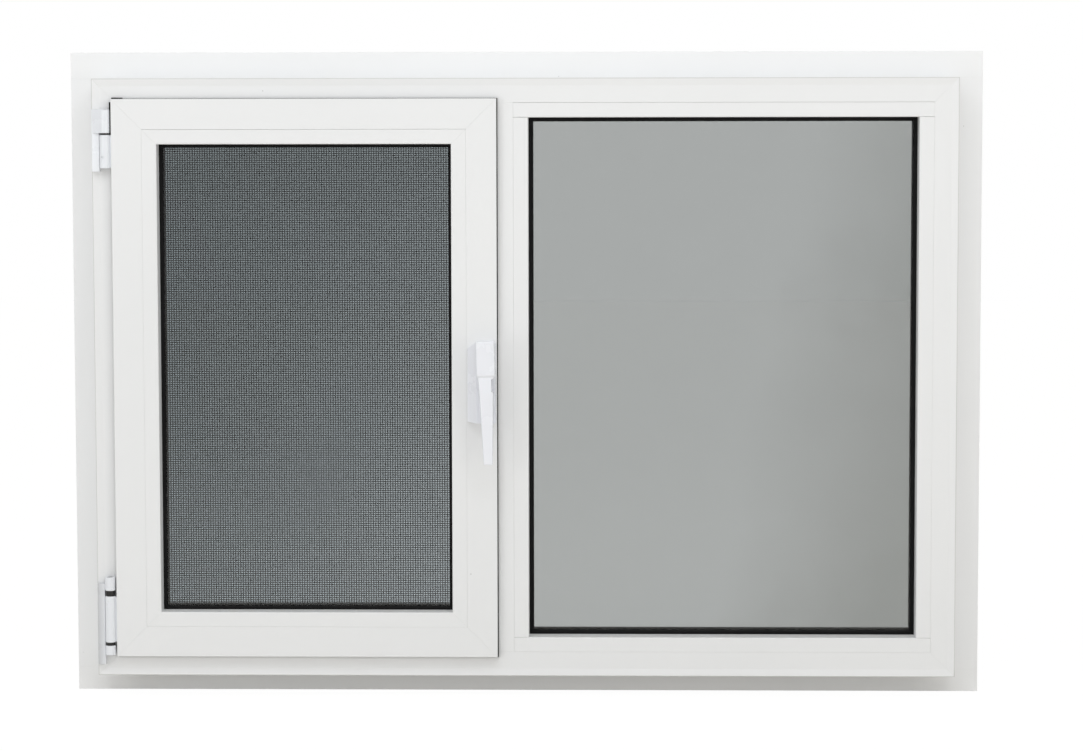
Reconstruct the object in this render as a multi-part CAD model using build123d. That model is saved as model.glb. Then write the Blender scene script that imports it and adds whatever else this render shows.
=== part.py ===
from build123d import *
import os

os.makedirs("parts", exist_ok=True)

# The frame's outline and the flat fin round it
FRAME_WIDTH = 940.0
FRAME_HEIGHT = 654.0
FIN_SIDE_REACH = 30.2
FIN_TOP_REACH = 28.6
FIN_BOTTOM_REACH = 24.8
FIN_THICKNESS = 2.0

# The frame's section, with depths measured from the fin's wall face
FRAME_FACE = 26.5
ROOM_DEPTH = 50.0
STREET_DEPTH = 14.0
LIP_HEIGHT = 1.4
LIP_WIDTH = 8.0
LIP_CREST = 1.0
LEG_THICKNESS = 15.0
LEG_REACH = 18.0
MULLION_FACE = 22.5
SASH_OPENING_WIDTH = 409.0

# The opening sash
SASH_OVERLAP = 4.5
SASH_PROUD = 9.0
SASH_FLANGE = 6.0
SASH_STILE_FACE = 33.0
SASH_SIDE_GAP = 5.0
SASH_REAR_GAP = 3.0
SASH_LEG_THICKNESS = 9.0

# Glazing in both lights
BEAD_FACE = 16.2
GLASS_THICKNESS = 4.0
GLASS_CAVITY = 12.0
GLASS_EDGE_GAP = 5.0
SPACER_WIDTH = 7.0
SPACER_SETBACK = 2.0
GASKET_THICKNESS = 3.0
SASH_GASKET_SHOW = 4.0
FIXED_GASKET_SHOW = 4.6
GASKET_BEVEL = 1.5
SEAL_SHOW = 1.0
SEAL_TOP_SHOW = 0.35
SEAL_CORNER_SHOW = 1.4
SEAL_CORNER_RUN = 12.0
SEAL_CORNER_SIDE = 2.6
SEAL_CORNER_START = 3.5
SEAL_CORNER_DROP = 39.0

# Joints and eased edges
JOINT_GAP = 0.05
TOP_JOINT_GAP = 0.2
MITRE_GAP = 0.02
JOINT_RADIUS = 0.12
EDGE_RADIUS = 0.6
SIGHT_RADIUS = 1.2

# The hinges on the left stile
HINGE_INSET = 14.8
HINGE_STAND_OFF = 6.5
KNUCKLE_DIAMETER = 11.0
LEAF_THICKNESS = 4.4
LEAF_EDGE = 2.8
LEAF_MARGIN = 0.3
LEAF_CLEARANCE = 0.4
PIN_DIAMETER = 6.0
PIN_CLEARANCE = 0.1
COLLAR_DIAMETER = 9.6
COLLAR_CLEARANCE = 0.2
HINGE_TAB = 3.0
HINGE_WEB = 4.0
GRUB_DIAMETER = 2.4
GRUB_DEPTH = 1.6
GRUB_OFFSET = 2.0
GRUB_ABOVE_KNUCKLE_END = 12.0
TOP_HINGE_BELOW_HEAD = 33.3
TOP_FRAME_KNUCKLE = 25.6
TOP_KNUCKLE_GAP = 2.0
TOP_SASH_KNUCKLE = 36.2
TOP_LEAF_TAIL = 3.6
BOTTOM_HINGE_ABOVE_SILL = 23.3
BOTTOM_LOWER_CAP = 10.5
BOTTOM_LOWER_GAP = 3.6
BOTTOM_SASH_KNUCKLE = 51.0
BOTTOM_UPPER_GAP = 6.2
BOTTOM_UPPER_CAP = 14.8
BOTTOM_LEAF_TAIL = 11.0
BOTTOM_LEAF_DROP = 7.4

# The lever handle on the right stile
HANDLE_TOP_BELOW_HEAD = 285.7
BASE_HEIGHT = 88.0
BASE_WIDTH = 31.0
BASE_DEPTH = 13.0
BASE_FLANK = 9.5
BASE_FLANK_RISE = 3.0
BASE_TOP_DROP = 6.6
BASE_LOW_RISE = 1.0
BASE_EDGE_MARGIN = 0.7
PIVOT_BELOW_BASE_TOP = 15.7
PIVOT_FROM_BASE_RIGHT = 10.6
NECK_DIAMETER = 16.0
NECK_LENGTH = 4.0
HEAD_WIDTH = 20.0
HEAD_HEIGHT = 36.8
HEAD_DEPTH = 15.0
SCOOP_DEPTH = 1.4
SCOOP_LENGTH = 16.0
GRIP_LENGTH = 97.4
GRIP_SHOULDER = 2.4
GRIP_NECK_LENGTH = 20.0
GRIP_TOP_WIDTH = 17.4
GRIP_WIDTH = 14.8
GRIP_TIP_WIDTH = 9.9
GRIP_DEPTH = 12.0
GRIP_TIP_DEPTH = 9.0
NOTCH_DEPTH = 3.0
NOTCH_DROP = 2.0
NOTCH_HEIGHT = 14.0
LEVER_LEAN = 1.4
HANDLE_RADIUS = 1.2

# The insect screen in the outer opening
SCREEN_FRAME_WIDTH = 12.0
SCREEN_FRAME_DEPTH = 9.0
SCREEN_RECESS = 1.0
MESH_THICKNESS = 0.8


def outline(points, eased, radius):
    """Closed outline with the listed corners rounded."""
    face = make_face(Polyline(*points, close=True))
    corners = []
    for index in eased:
        spot = Vector(points[index][0], points[index][1], 0)
        corners.append(face.vertices().sort_by_distance(spot)[0])
    return fillet(corners, radius) if corners else face


def straight_bar(section, run):
    """Bar along X, centred on its length, from a section in depth and reach."""
    return extrude(Plane.YZ * section, amount=run / 2, both=True)


def mitred_bar(section, run, gap):
    """Bar along X with both ends cut at 45 degrees, each set back by half the joint."""
    box = section.bounding_box()
    near = box.min.Y
    far = box.max.Y
    set_back = gap / 2 * 2**0.5
    half = run / 2 - set_back
    wedge = make_face(
        Polyline(
            (near - half, near),
            (half - near, near),
            (half - far, far),
            (far - half, far),
            close=True,
        )
    )
    depth = max(abs(box.min.X), abs(box.max.X)) + 1
    return straight_bar(section, run) & extrude(Plane.XZ * wedge, amount=depth, both=True)


def placed(across, upright, width, height, middle):
    """The bar pair set round a rectangle: bottom, top, left, right."""
    x, z = middle
    bottom = Pos(x, 0, z - height / 2) * across
    top = Pos(x, 0, z + height / 2) * Rot(0, 180, 0) * across
    left = Pos(x - width / 2, 0, z) * Rot(0, 90, 0) * upright
    right = Pos(x + width / 2, 0, z) * Rot(0, -90, 0) * upright
    return bottom, top, left, right


def mitred_ring(section, width, height, middle, gap):
    """Four mitred bars round a rectangle."""
    across = mitred_bar(section, width, gap)
    upright = mitred_bar(section, height, gap)
    return placed(across, upright, width, height, middle)


def slab(width, height, near, far, middle):
    """Upright slab between two depths."""
    x, z = middle
    return Pos(x, (near + far) / 2, z) * Box(width, far - near, height)


def gasket_ring(outer, inner, near, far, middle):
    """Rubber ring between two depths."""
    body = slab(outer[0], outer[1], near, far, middle)
    return body - slab(inner[0], inner[1], near - 1, far + 1, middle)


def bevelled_gasket(outer, inner, near, far, middle, bevel_depth):
    """Rubber ring whose inner edge is bevelled on the side named by a depth."""
    ring = gasket_ring(outer, inner, near, far, middle)
    x, z = middle
    edges = [
        edge
        for edge in ring.edges()
        if abs(edge.center().Y - bevel_depth) < 1e-6
        and abs(edge.center().X - x) < inner[0] / 2 + 1e-6
        and abs(edge.center().Z - z) < inner[1] / 2 + 1e-6
    ]
    return chamfer(edges, GASKET_BEVEL)


def bead_section(front, back, gap):
    """Section of a glazing bead, its outer edge eased and its sight edge rounded."""
    points = [
        (front, gap),
        (front, BEAD_FACE),
        (back, BEAD_FACE),
        (back, gap),
    ]
    eased = outline(points, [0], JOINT_RADIUS)
    corner = eased.vertices().sort_by_distance(Vector(front, BEAD_FACE, 0))[0]
    return fillet([corner], SIGHT_RADIUS)


def mitred_beads(section, upper, width, height):
    """Lower, upper and side beads with mitred ends."""
    across = mitred_bar(section, width, MITRE_GAP)
    return across, mitred_bar(upper, width, MITRE_GAP), mitred_bar(section, height, MITRE_GAP)


def butted_beads(section, upper, width, height):
    """Lower and upper beads that run through, and side beads that stand between them."""
    run = width - 2 * JOINT_GAP
    rise = height - 2 * BEAD_FACE - 2 * JOINT_GAP
    return straight_bar(section, run), straight_bar(upper, run), straight_bar(section, rise)


def bead_set(width, height, front, back, middle, joined):
    """Four glazing beads round a light, with the joint at their ends that is given."""
    section = bead_section(front, back, JOINT_GAP)
    upper = bead_section(front, back, TOP_JOINT_GAP)
    lower_bead, upper_bead, side_bead = joined(section, upper, width, height)
    bottom, _, left, right = placed(lower_bead, side_bead, width, height, middle)
    _, top, _, _ = placed(upper_bead, side_bead, width, height, middle)
    return bottom, top, left, right


def save(nodes):
    """Write each named piece to its own file."""
    for name, shape in nodes.items():
        shape.label = name
        export_step(shape, f"parts/{name}.step")


# Where things lie: the fin's wall face is at depth 0 and its lower strip holds the origin
frame_bottom = FIN_BOTTOM_REACH / 2
frame_top = frame_bottom + FRAME_HEIGHT
frame_left = -FRAME_WIDTH / 2
frame_right = FRAME_WIDTH / 2
frame_middle = (0, frame_bottom + FRAME_HEIGHT / 2)
opening_height = FRAME_HEIGHT - 2 * FRAME_FACE
fixed_opening_width = FRAME_WIDTH - 2 * FRAME_FACE - MULLION_FACE - SASH_OPENING_WIDTH
sash_x = frame_left + FRAME_FACE + SASH_OPENING_WIDTH / 2
mullion_x = frame_left + FRAME_FACE + SASH_OPENING_WIDTH + MULLION_FACE / 2
fixed_x = frame_right - FRAME_FACE - fixed_opening_width / 2
sash_middle = (sash_x, frame_middle[1])
fixed_middle = (fixed_x, frame_middle[1])
face_y = -ROOM_DEPTH
crest_y = face_y - LIP_HEIGHT
street_y = STREET_DEPTH
leg_y = street_y - LEG_THICKNESS
nodes = {}

# Outer frame: four mitred members with a sloping lip and a rear leg
frame_section = outline(
    [
        (street_y, 0),
        (crest_y, 0),
        (crest_y, LIP_CREST),
        (face_y, LIP_WIDTH),
        (face_y, FRAME_FACE),
        (leg_y, FRAME_FACE),
        (leg_y, FRAME_FACE + LEG_REACH),
        (street_y, FRAME_FACE + LEG_REACH),
    ],
    [0, 4, 7],
    JOINT_RADIUS,
)
frame_parts = mitred_ring(frame_section, FRAME_WIDTH, FRAME_HEIGHT, frame_middle, MITRE_GAP)
frame_names = ("frame_sill", "frame_head", "frame_left_jamb", "frame_right_jamb")
nodes.update(zip(frame_names, frame_parts))

# Fin: four flat strips standing out from the frame's sides, the lower and upper running through
fin_width = FRAME_WIDTH + 2 * FIN_SIDE_REACH
fin_rise = FRAME_HEIGHT - 2 * MITRE_GAP
fin_side_x = (FRAME_WIDTH + FIN_SIDE_REACH) / 2
fin_top_z = frame_top + FIN_TOP_REACH / 2
nodes["fin_bottom"] = slab(fin_width, FIN_BOTTOM_REACH, 0, FIN_THICKNESS, (0, 0))
nodes["fin_top"] = slab(fin_width, FIN_TOP_REACH, 0, FIN_THICKNESS, (0, fin_top_z))
nodes["fin_left"] = slab(FIN_SIDE_REACH, fin_rise, 0, FIN_THICKNESS, (-fin_side_x, frame_middle[1]))
nodes["fin_right"] = slab(FIN_SIDE_REACH, fin_rise, 0, FIN_THICKNESS, (fin_side_x, frame_middle[1]))

# Mullion between the two lights, its rear legs stopping at the frame's legs
mullion_body = outline(
    [
        (-MULLION_FACE / 2, face_y),
        (MULLION_FACE / 2, face_y),
        (MULLION_FACE / 2, leg_y),
        (-MULLION_FACE / 2, leg_y),
    ],
    [0, 1],
    JOINT_RADIUS,
)
mullion_leg = slab(
    MULLION_FACE + 2 * LEG_REACH,
    opening_height - 2 * LEG_REACH,
    leg_y,
    street_y,
    (mullion_x, frame_middle[1]),
)
mullion_post = Pos(mullion_x, 0, frame_middle[1]) * extrude(
    mullion_body, amount=opening_height / 2, both=True
)
nodes["mullion"] = mullion_post + mullion_leg

# Sash: four mitred members lapping over the frame's face
sash_width = SASH_OPENING_WIDTH + 2 * SASH_OVERLAP
sash_height = opening_height + 2 * SASH_OVERLAP
sash_y = face_y - SASH_PROUD
sash_flange_y = sash_y + SASH_FLANGE
sash_rear_y = leg_y - SASH_REAR_GAP
sash_leg_y = sash_rear_y - SASH_LEG_THICKNESS
sash_side = SASH_OVERLAP + SASH_SIDE_GAP
sash_section = outline(
    [
        (sash_y, 0),
        (sash_y, SASH_STILE_FACE),
        (sash_leg_y, SASH_STILE_FACE),
        (sash_leg_y, SASH_STILE_FACE + BEAD_FACE),
        (sash_rear_y, SASH_STILE_FACE + BEAD_FACE),
        (sash_rear_y, sash_side),
        (sash_flange_y, sash_side),
        (sash_flange_y, 0),
    ],
    [0, 1, 4],
    JOINT_RADIUS,
)
sash_parts = mitred_ring(sash_section, sash_width, sash_height, sash_middle, MITRE_GAP)
sash_names = ("sash_bottom_rail", "sash_top_rail", "sash_hinge_stile", "sash_handle_stile")
nodes.update(zip(sash_names, sash_parts))

# Seal under the sash's lap, bearing on the frame's face and showing past the sash's edge
seal_extra = SEAL_SHOW + SEAL_TOP_SHOW
seal_shift = (SEAL_SHOW - SEAL_TOP_SHOW) / 2
seal_sheet = slab(
    sash_width + seal_extra,
    sash_height + seal_extra,
    sash_flange_y,
    face_y,
    (sash_x + seal_shift, sash_middle[1] - seal_shift),
)
seal_hole = slab(SASH_OPENING_WIDTH, opening_height, sash_flange_y - 1, face_y + 1, sash_middle)
sash_left = sash_x - sash_width / 2
sash_top = sash_middle[1] + sash_height / 2
seal_corner = slab(
    SEAL_CORNER_RUN,
    SEAL_CORNER_SHOW,
    sash_flange_y,
    face_y,
    (sash_left + SEAL_CORNER_RUN / 2, sash_top + SEAL_CORNER_SHOW / 2),
)
seal_side = slab(
    SEAL_CORNER_SIDE,
    SEAL_CORNER_DROP - SEAL_CORNER_START,
    sash_flange_y,
    face_y,
    (sash_left - SEAL_CORNER_SIDE / 2, sash_top - (SEAL_CORNER_DROP + SEAL_CORNER_START) / 2),
)
nodes["sash_seal"] = seal_sheet - seal_hole + seal_corner + seal_side


def glazing(light, rebate, front, rear, middle, gasket_show, joined):
    """Beads, gaskets and the sealed double pane in one light, from the room side to the rear leg."""
    width, height = rebate
    outer_gasket_y = rear - GASKET_THICKNESS
    outer_pane_y = outer_gasket_y - GLASS_THICKNESS
    spacer_y = outer_pane_y - GLASS_CAVITY
    inner_pane_y = spacer_y - GLASS_THICKNESS
    bead_back_y = inner_pane_y - GASKET_THICKNESS
    pane = (width - 2 * GLASS_EDGE_GAP, height - 2 * GLASS_EDGE_GAP)
    sight = (width - 2 * BEAD_FACE, height - 2 * BEAD_FACE)
    clear = (sight[0] - 2 * gasket_show, sight[1] - 2 * gasket_show)
    spacer_out = (pane[0] - 2 * SPACER_SETBACK, pane[1] - 2 * SPACER_SETBACK)
    spacer_in = (spacer_out[0] - 2 * SPACER_WIDTH, spacer_out[1] - 2 * SPACER_WIDTH)
    beads = bead_set(width, height, front, bead_back_y, middle, joined)
    made = dict(zip([f"{light}_bead_{side}" for side in ("bottom", "top", "left", "right")], beads))
    made[f"{light}_inner_gasket"] = bevelled_gasket(
        pane, clear, bead_back_y, inner_pane_y, middle, bead_back_y
    )
    made[f"{light}_inner_pane"] = slab(pane[0], pane[1], inner_pane_y, spacer_y, middle)
    made[f"{light}_glass_spacer"] = gasket_ring(
        spacer_out, spacer_in, spacer_y, outer_pane_y, middle
    )
    made[f"{light}_outer_pane"] = slab(pane[0], pane[1], outer_pane_y, outer_gasket_y, middle)
    made[f"{light}_outer_gasket"] = bevelled_gasket(
        pane, clear, outer_gasket_y, rear, middle, rear
    )
    return made


sash_rebate = (sash_width - 2 * SASH_STILE_FACE, sash_height - 2 * SASH_STILE_FACE)
sash_glazing = glazing(
    "sash", sash_rebate, sash_y, sash_leg_y, sash_middle, SASH_GASKET_SHOW, mitred_beads
)
nodes.update(sash_glazing)
fixed_rebate = (fixed_opening_width, opening_height)
fixed_glazing = glazing(
    "fixed", fixed_rebate, face_y, leg_y, fixed_middle, FIXED_GASKET_SHOW, butted_beads
)
nodes.update(fixed_glazing)

# Hinges: barrels standing in front of the frame's face, clear of the sash's edge
axis_x = frame_left + HINGE_INSET
axis_y = face_y - HINGE_STAND_OFF
barrel_radius = KNUCKLE_DIAMETER / 2
bore_radius = PIN_DIAMETER / 2 + PIN_CLEARANCE
leaf_right = HINGE_INSET - barrel_radius - LEAF_CLEARANCE
leaf_front_y = crest_y - LEAF_THICKNESS


def knuckle(low, high, arm_end, arm_y, arm_thickness):
    """Barrel between two heights, bored for the pin, with an arm reaching sideways from it."""
    length = high - low
    height = (low + high) / 2
    barrel = Pos(axis_x, axis_y, height) * fillet(
        Cylinder(barrel_radius, length).edges(), EDGE_RADIUS
    )
    arm = Pos((axis_x + arm_end) / 2, arm_y, height) * Box(
        abs(arm_end - axis_x), arm_thickness, length - 2 * EDGE_RADIUS
    )
    bore = Pos(axis_x, axis_y, height) * Cylinder(bore_radius, length + 2)
    return barrel + arm - bore


def frame_knuckle(low, high):
    """Barrel with a web to the leaf."""
    return knuckle(low, high, frame_left + leaf_right, leaf_front_y + HINGE_WEB / 2, HINGE_WEB)


def faired_knuckle(low, high):
    """Barrel whose front runs on in one flat slope to the leaf's outer edge."""
    corner = Vector(frame_left + LEAF_MARGIN + EDGE_RADIUS, crest_y - LEAF_EDGE)
    axis = Vector(axis_x, axis_y)
    reach = axis - corner
    span = reach.length
    tangent = (span**2 - barrel_radius**2) ** 0.5
    side = Vector(-reach.Y, reach.X)
    touch = corner + reach * (tangent / span) ** 2 - side * (barrel_radius * tangent / span**2)
    wedge = make_face(Polyline(corner, touch, axis, (axis_x, crest_y), (corner.X, crest_y), close=True))
    bore = Pos(axis_x, axis_y, (low + high) / 2) * Cylinder(bore_radius, high - low + 2)
    return frame_knuckle(low, high) + Pos(0, 0, low) * extrude(wedge, amount=high - low) - bore


def sash_knuckle(low, high):
    """Barrel with a tab that meets the sash's edge."""
    return knuckle(low, high, sash_left, (sash_y + sash_flange_y) / 2, HINGE_TAB)


def leaf(low, high):
    """Plate folded over the frame's lip and standing on its face beside the barrels."""
    points = [
        (LEAF_MARGIN, crest_y),
        (LEAF_MARGIN, crest_y - LEAF_EDGE),
        (leaf_right, leaf_front_y),
        (leaf_right, face_y),
        (LIP_WIDTH, face_y),
        (LIP_CREST, crest_y),
    ]
    plate = extrude(outline(points, [1, 2], EDGE_RADIUS), amount=high - low)
    return Pos(frame_left, 0, low) * plate


def pin(low, high, gaps):
    """Hinge pin between two heights, with a collar in each gap between barrels."""
    shaft = Pos(axis_x, axis_y, (low + high) / 2) * Cylinder(PIN_DIAMETER / 2, high - low)
    for gap_low, gap_high in gaps:
        length = gap_high - gap_low - 2 * COLLAR_CLEARANCE
        middle = (gap_low + gap_high) / 2
        shaft += Pos(axis_x, axis_y, middle) * Cylinder(COLLAR_DIAMETER / 2, length)
    return shaft


# Top hinge: the frame's barrel above, the sash's barrel with a grub screw below
top_high = frame_top - TOP_HINGE_BELOW_HEAD
top_gap_high = top_high - TOP_FRAME_KNUCKLE
top_gap_low = top_gap_high - TOP_KNUCKLE_GAP
top_low = top_gap_low - TOP_SASH_KNUCKLE
grub_y = axis_y - barrel_radius + GRUB_DEPTH / 2
grub = Pos(axis_x - GRUB_OFFSET, grub_y, top_low + GRUB_ABOVE_KNUCKLE_END) * Rot(90, 0, 0)
top_leaf = leaf(top_low - TOP_LEAF_TAIL, top_high)
nodes["top_hinge_frame_leaf"] = top_leaf + faired_knuckle(top_gap_high, top_high)
grub_hole = grub * Cylinder(GRUB_DIAMETER / 2, GRUB_DEPTH)
nodes["top_hinge_sash_knuckle"] = sash_knuckle(top_low, top_gap_low) - grub_hole
nodes["top_hinge_pin"] = pin(top_low, top_high, [(top_gap_low, top_gap_high)])

# Bottom hinge: two barrels of the frame's leaf with the sash's barrel between them
low_cap_low = frame_bottom + BOTTOM_HINGE_ABOVE_SILL
low_cap_high = low_cap_low + BOTTOM_LOWER_CAP
sash_barrel_low = low_cap_high + BOTTOM_LOWER_GAP
sash_barrel_high = sash_barrel_low + BOTTOM_SASH_KNUCKLE
high_cap_low = sash_barrel_high + BOTTOM_UPPER_GAP
high_cap_high = high_cap_low + BOTTOM_UPPER_CAP
nodes["bottom_hinge_frame_leaf"] = (
    leaf(low_cap_low - BOTTOM_LEAF_TAIL, high_cap_high - BOTTOM_LEAF_DROP)
    + frame_knuckle(low_cap_low, low_cap_high)
    + frame_knuckle(high_cap_low, high_cap_high)
)
nodes["bottom_hinge_sash_knuckle"] = sash_knuckle(sash_barrel_low, sash_barrel_high)
bottom_gaps = [(low_cap_high, sash_barrel_low), (sash_barrel_high, high_cap_low)]
nodes["bottom_hinge_pin"] = pin(low_cap_low, high_cap_high, bottom_gaps)

# Handle base on the right stile: its left flank slopes away and its left corners are cut
base_right = sash_x + sash_width / 2 - BASE_EDGE_MARGIN
base_left = base_right - BASE_WIDTH
base_top = frame_top - HANDLE_TOP_BELOW_HEAD
base_low = base_top - BASE_HEIGHT
base_front_y = sash_y - BASE_DEPTH
base_plan = make_face(
    Polyline(
        (base_left, sash_y),
        (base_left, sash_y - BASE_FLANK_RISE),
        (base_left + BASE_FLANK, base_front_y),
        (base_right, base_front_y),
        (base_right, sash_y),
        close=True,
    )
)
base_front = make_face(
    Polyline(
        (base_left, base_low + BASE_LOW_RISE),
        (base_left, base_top - BASE_TOP_DROP),
        (base_left + BASE_FLANK, base_top),
        (base_right, base_top),
        (base_right, base_low),
        (base_left + BASE_FLANK, base_low),
        close=True,
    )
)
base_block = Pos(0, 0, base_low) * extrude(base_plan, amount=BASE_HEIGHT)
base_block = base_block & extrude(Plane.XZ * base_front, amount=-2 * sash_y, both=True)
base_edges = [edge for edge in base_block.edges() if edge.center().Y < sash_y - EDGE_RADIUS]
nodes["handle_base"] = fillet(base_edges, EDGE_RADIUS)

# Handle lever: a block head on a round neck, with a tapering grip hanging from it
pivot_x = base_right - PIVOT_FROM_BASE_RIGHT
pivot_z = base_top - PIVOT_BELOW_BASE_TOP
head_back_y = base_front_y - NECK_LENGTH
head_front_y = head_back_y - HEAD_DEPTH
head_half = HEAD_HEIGHT / 2
tip_z = -head_half - GRIP_LENGTH
shoulder_z = -head_half - GRIP_SHOULDER
neck_z = shoulder_z - GRIP_NECK_LENGTH
lever_front = make_face(
    Polyline(
        (-HEAD_WIDTH / 2, head_half),
        (HEAD_WIDTH / 2, head_half),
        (HEAD_WIDTH / 2, -head_half),
        (GRIP_TOP_WIDTH / 2, shoulder_z),
        (GRIP_WIDTH / 2, neck_z),
        (GRIP_TIP_WIDTH / 2, tip_z),
        (-GRIP_TIP_WIDTH / 2, tip_z),
        (-GRIP_WIDTH / 2, neck_z),
        (-GRIP_TOP_WIDTH / 2, shoulder_z),
        (-HEAD_WIDTH / 2, -head_half),
        close=True,
    )
)
tip_step = (GRIP_DEPTH - GRIP_TIP_DEPTH) / 2
lever_side = make_face(
    Polyline(
        (head_back_y, head_half),
        (head_front_y, head_half),
        (head_front_y, -head_half),
        (head_front_y + SCOOP_DEPTH, shoulder_z),
        (head_front_y, shoulder_z - SCOOP_LENGTH),
        (head_front_y + tip_step, tip_z),
        (head_front_y + GRIP_DEPTH - tip_step, tip_z),
        (head_front_y + GRIP_DEPTH, neck_z),
        (head_back_y, -head_half),
        close=True,
    )
)
lever_block = extrude(Plane.XZ * lever_front, amount=-2 * head_front_y, both=True)
lever_block = lever_block & extrude(Plane.YZ * lever_side, amount=HEAD_WIDTH, both=True)
lever_block = fillet(lever_block.edges(), HANDLE_RADIUS)
notch_z = shoulder_z - NOTCH_DROP - NOTCH_HEIGHT / 2
notch = Box(2 * NOTCH_DEPTH, 2 * HEAD_DEPTH, NOTCH_HEIGHT)
lever_block -= Pos(GRIP_TOP_WIDTH / 2, head_back_y - HEAD_DEPTH / 2, notch_z) * notch
neck = Pos(0, (base_front_y + head_back_y) / 2, 0) * Rot(90, 0, 0) * Cylinder(
    NECK_DIAMETER / 2, NECK_LENGTH
)
nodes["handle_lever"] = Pos(pivot_x, 0, pivot_z) * Rot(0, -LEVER_LEAN, 0) * (lever_block + neck)

# Insect screen standing in the rear opening of the opening light
screen_width = SASH_OPENING_WIDTH - 2 * LEG_REACH - 2 * JOINT_GAP
screen_height = opening_height - 2 * LEG_REACH - 2 * JOINT_GAP
screen_rear_y = street_y - SCREEN_RECESS
screen_front_y = screen_rear_y - SCREEN_FRAME_DEPTH
screen_section = outline(
    [
        (screen_front_y, 0),
        (screen_front_y, SCREEN_FRAME_WIDTH),
        (screen_rear_y, SCREEN_FRAME_WIDTH),
        (screen_rear_y, 0),
    ],
    [1, 2, 3],
    EDGE_RADIUS,
)
screen_parts = mitred_ring(screen_section, screen_width, screen_height, sash_middle, MITRE_GAP)
screen_names = ("screen_bottom", "screen_top", "screen_left", "screen_right")
nodes.update(zip(screen_names, screen_parts))
mesh_y = (screen_front_y + screen_rear_y - MESH_THICKNESS) / 2
nodes["screen_mesh"] = slab(
    screen_width - 2 * SCREEN_FRAME_WIDTH,
    screen_height - 2 * SCREEN_FRAME_WIDTH,
    mesh_y,
    mesh_y + MESH_THICKNESS,
    sash_middle,
)

save(nodes)
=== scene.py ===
"""Dresses the window: white powder coat, rubber, grey glass, woven wire, a plain studio and the camera."""

import logging
import math
from abc import ABC, abstractmethod
from dataclasses import dataclass, field
from enum import Enum

import bpy
from mathutils import Matrix, Vector


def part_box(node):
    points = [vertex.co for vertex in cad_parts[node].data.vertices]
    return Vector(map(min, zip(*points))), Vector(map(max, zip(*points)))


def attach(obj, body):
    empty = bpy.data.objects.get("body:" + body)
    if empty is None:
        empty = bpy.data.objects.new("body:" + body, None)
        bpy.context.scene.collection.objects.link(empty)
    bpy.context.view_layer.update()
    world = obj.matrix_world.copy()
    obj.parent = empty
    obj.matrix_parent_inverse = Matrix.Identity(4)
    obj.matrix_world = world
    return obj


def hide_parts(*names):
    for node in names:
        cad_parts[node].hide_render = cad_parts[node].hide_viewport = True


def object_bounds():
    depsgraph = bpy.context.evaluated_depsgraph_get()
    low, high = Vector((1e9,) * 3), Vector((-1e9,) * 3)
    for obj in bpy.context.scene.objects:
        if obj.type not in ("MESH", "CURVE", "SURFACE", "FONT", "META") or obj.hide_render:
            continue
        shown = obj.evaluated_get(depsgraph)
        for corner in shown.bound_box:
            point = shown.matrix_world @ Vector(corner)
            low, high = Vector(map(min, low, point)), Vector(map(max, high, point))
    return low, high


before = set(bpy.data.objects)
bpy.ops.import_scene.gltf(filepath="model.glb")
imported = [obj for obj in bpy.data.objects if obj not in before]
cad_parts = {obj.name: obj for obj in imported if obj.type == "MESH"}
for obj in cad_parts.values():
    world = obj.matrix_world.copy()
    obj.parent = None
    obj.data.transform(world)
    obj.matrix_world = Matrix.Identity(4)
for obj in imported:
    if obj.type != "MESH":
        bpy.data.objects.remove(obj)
CAD_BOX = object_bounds()

LOG = logging.getLogger("window")
BODY = "root"

Colour = tuple[float, float, float]
Point = tuple[float, float, float]
Socket = bpy.types.NodeSocket
Value = float | tuple[float, ...] | Socket


def paint(red: int, green: int, blue: int) -> Colour:
    """Turns a colour as a screen shows it into the linear colour that a shader takes.

    Args:
        red: Red level, 0 to 255.
        green: Green level, 0 to 255.
        blue: Blue level, 0 to 255.

    Returns:
        The linear colour.
    """

    def channel(level: int) -> float:
        """Gives the linear value of one level."""
        share = level / 255
        return share / 12.92 if share <= 0.04045 else ((share + 0.055) / 1.055) ** 2.4

    return channel(red), channel(green), channel(blue)


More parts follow.
